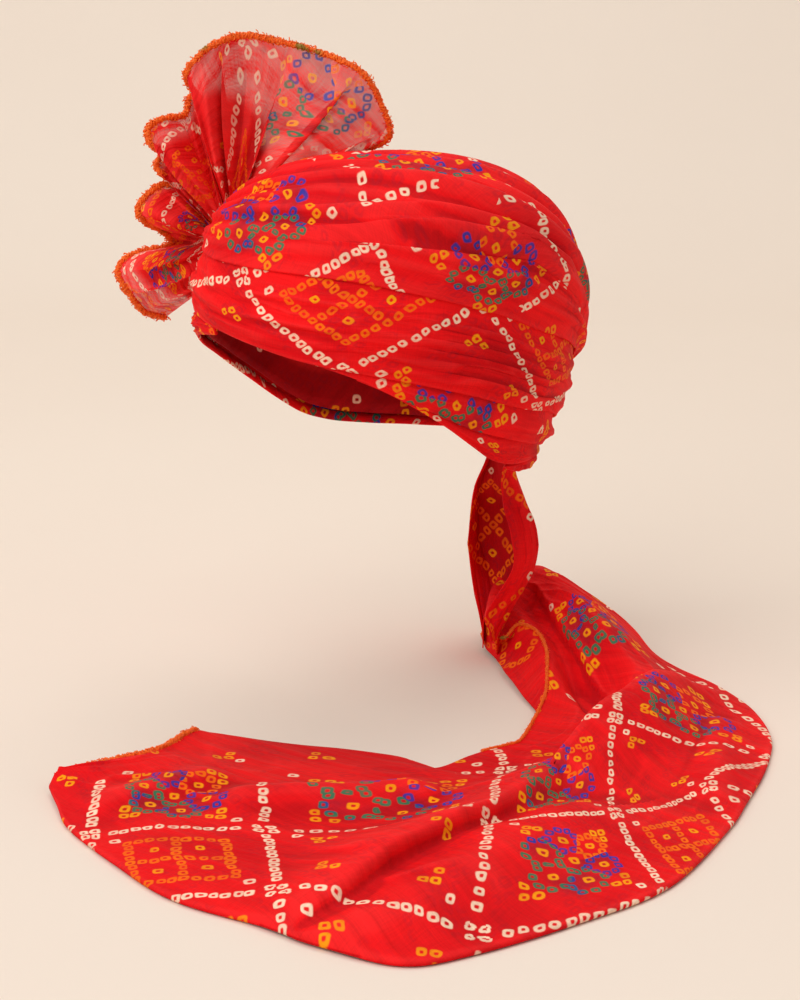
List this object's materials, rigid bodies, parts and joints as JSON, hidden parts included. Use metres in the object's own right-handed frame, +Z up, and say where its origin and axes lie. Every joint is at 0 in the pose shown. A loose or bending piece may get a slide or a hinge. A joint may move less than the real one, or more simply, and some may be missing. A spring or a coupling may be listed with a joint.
{
  "type": "tied turban pagri with its fan and trailing free end",
  "caption": "Tied pagri turban of sheer red bandhani georgette, with a pleated fan on one side and a free end that hangs from the nape and lies in soft folds.",
  "frame": {"origin": "the middle of the head opening, level with the rim over the forehead, where the turban sits on a head", "axes": "+Z up, the wearer faces -Y, and the wearer's left is +X; the free end hangs from the nape and lies 220 mm below the origin"},
  "size_m": [0.4323, 0.4409, 0.3744],
  "materials": {
    "inner_cloth": "matt wound cloth, deep red",
    "crown_cloth": "soft printed georgette, bright red",
    "fan_cloth": "sheer crepe georgette, one layer",
    "tail_cloth": "soft printed georgette, folded in two",
    "edge_thread": "orange overlock thread"
  },
  "bodies": {
    "root": {"crown_inner_wrap": "inner_cloth", "crown_upper_wrap": "crown_cloth", "front_band": "crown_cloth", "side_band_upper": "crown_cloth", "side_band_lower": "crown_cloth", "far_side_band": "crown_cloth", "nape_tuck": "crown_cloth", "fan": "fan_cloth", "fan_border": "edge_thread", "tail_fall": "tail_cloth", "tail_spread": "tail_cloth", "tail_inner_fold": "tail_cloth", "tail_edge_hem": "edge_thread", "tail_end_border": "edge_thread"}
  },
  "joints": []
}
